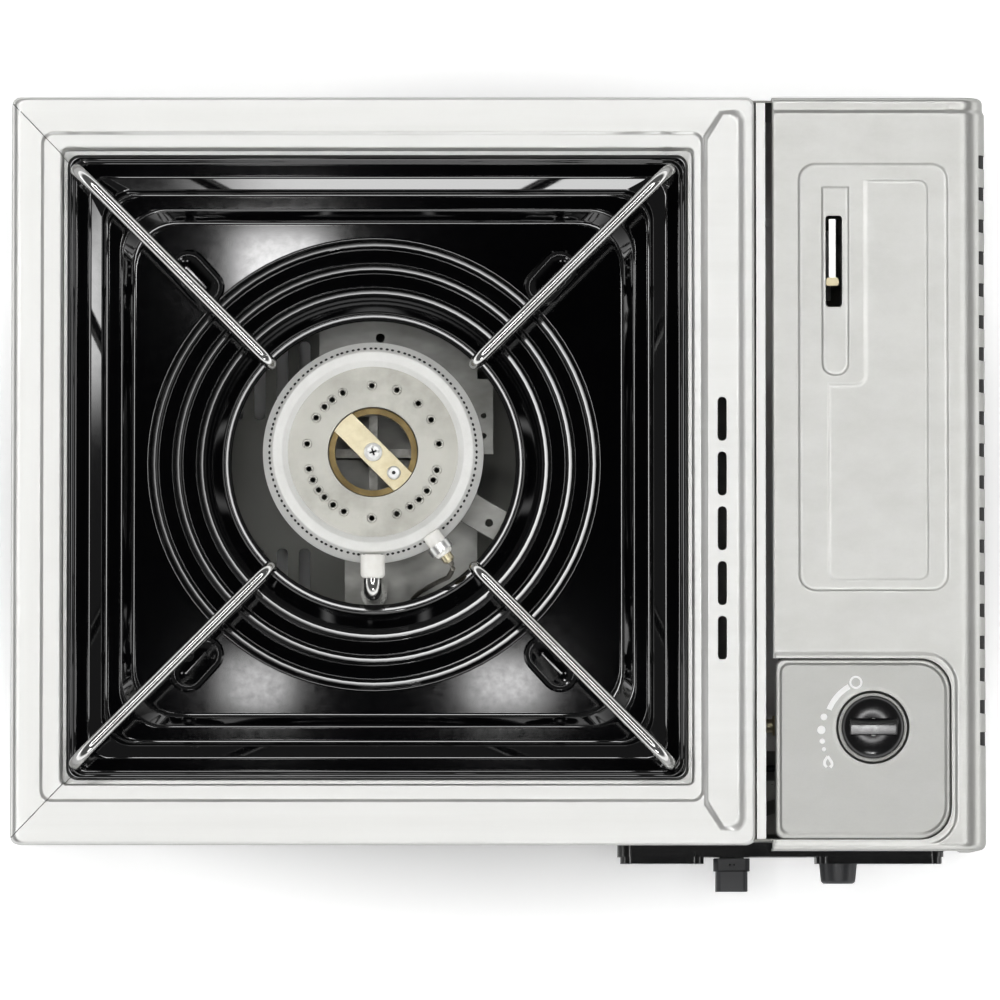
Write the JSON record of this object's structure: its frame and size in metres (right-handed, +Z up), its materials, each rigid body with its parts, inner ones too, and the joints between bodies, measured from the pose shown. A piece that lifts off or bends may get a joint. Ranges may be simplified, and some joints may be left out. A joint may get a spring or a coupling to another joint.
{
  "type": "butane cassette stove",
  "caption": "Portable table stove: square burner section with enamelled drip pan, wire supports and round burner, beside a cartridge section with hinged lid, knob, lever and button.",
  "frame": {"origin": "on the table under the middle of the overall box", "axes": "+X to the cartridge side, +Y to the rear, +Z up"},
  "size_m": [0.34, 0.277, 0.1],
  "materials": {
    "deck_steel": "stainless steel, brushed along its length, satin",
    "zinc_steel": "zinc plated sheet steel, dull",
    "black_enamel": "glossy black enamel on steel",
    "support_wire": "bright chromed steel wire",
    "burner_steel": "turned and satin stainless steel",
    "cast_alloy": "as cast aluminium, matt",
    "brass": "plain brass, slightly dull",
    "screw_steel": "plated screws, rivet, pins and spindle",
    "spring_steel": "bright spring wire",
    "white_ceramic": "white unglazed ceramic",
    "black_gloss": "glossy black plastic",
    "black_matte": "fine grained black plastic",
    "piezo_plastic": "dark blue plastic",
    "lead_rubber": "silicone insulated high-voltage lead",
    "sensor_wire": "glass fibre sleeved wire",
    "foot_rubber": "black rubber"
  },
  "bodies": {
    "stove": {"base_tray": "zinc_steel", "feet": "foot_rubber", "floor_screws": "screw_steel", "top_frame": "deck_steel", "left_side_panel": "deck_steel", "partition": "zinc_steel", "burner_bridge": "zinc_steel", "bridge_screws": "screw_steel", "burner_body": "cast_alloy", "mixing_tube": "cast_alloy", "burner_port_ring": "burner_steel", "burner_cap_plate": "burner_steel", "burner_inner_ring": "brass", "burner_strap": "brass", "strap_screw": "screw_steel", "strap_rivet": "screw_steel", "igniter_ceramic": "white_ceramic", "igniter_tube": "burner_steel", "igniter_clamp": "zinc_steel", "sensor_ceramic": "white_ceramic", "sensor_tip": "brass", "sensor_bracket": "zinc_steel", "heat_plate": "zinc_steel", "igniter_lead": "lead_rubber", "sensor_lead": "sensor_wire", "regulator_body": "cast_alloy", "regulator_bracket": "zinc_steel", "gas_jet": "brass", "packing_nut": "brass", "control_panel": "deck_steel", "front_bezel": "black_gloss", "bezel_screws": "screw_steel", "carriage_guides": "zinc_steel", "carriage_spring": "spring_steel", "cradle_saddles": "zinc_steel", "cradle_leaf": "zinc_steel", "piezo_unit": "piezo_plastic", "piezo_bracket": "zinc_steel", "button_spring": "spring_steel", "hinge_brackets": "zinc_steel", "hinge_pins": "screw_steel"},
    "pan": {"drip_pan": "black_enamel", "pan_support_1": "support_wire", "pan_support_2": "support_wire", "pan_support_3": "support_wire", "pan_support_4": "support_wire"},
    "knob": {"gas_knob": "black_gloss", "valve_spindle": "screw_steel"},
    "lever": {"lock_lever": "black_matte", "cam_plate": "zinc_steel"},
    "carriage": {"cartridge_carriage": "zinc_steel"},
    "button": {"igniter_button": "black_matte"},
    "cover": {"lid": "deck_steel"}
  },
  "joints": [
    {"name": "pan_lift", "type": "slide", "parent": "stove", "child": "pan", "axis": [0, 0, 1], "range_m": [0, 0.12]},
    {"name": "knob_turn", "type": "hinge", "parent": "stove", "child": "knob", "pos_m": [0.1302, -0.0817, 0.08], "axis": [0, 0, 1], "range_deg": [-69, 37]},
    {"name": "lever_slide", "type": "slide", "parent": "stove", "child": "lever", "axis": [1, 0, 0], "range_m": [0, 0.02]},
    {"name": "carriage_slide", "type": "slide", "parent": "stove", "child": "carriage", "axis": [0, -1, 0], "range_m": [0, 0.006], "deforming": ["carriage_spring"]},
    {"name": "button_press", "type": "slide", "parent": "stove", "child": "button", "axis": [0, 1, 0], "range_m": [0, 0.005], "stiffness_N_per_m": 400, "springref_m": -0.002, "deforming": ["button_spring"]},
    {"name": "lid_hinge", "type": "hinge", "parent": "stove", "child": "cover", "pos_m": [0.166, 0, 0.011], "axis": [0, 1, 0], "range_deg": [0, 92]}
  ],
  "couplings": [
    {"joint": "carriage_slide", "follows": "lever_slide", "ratio": 0.3}
  ]
}
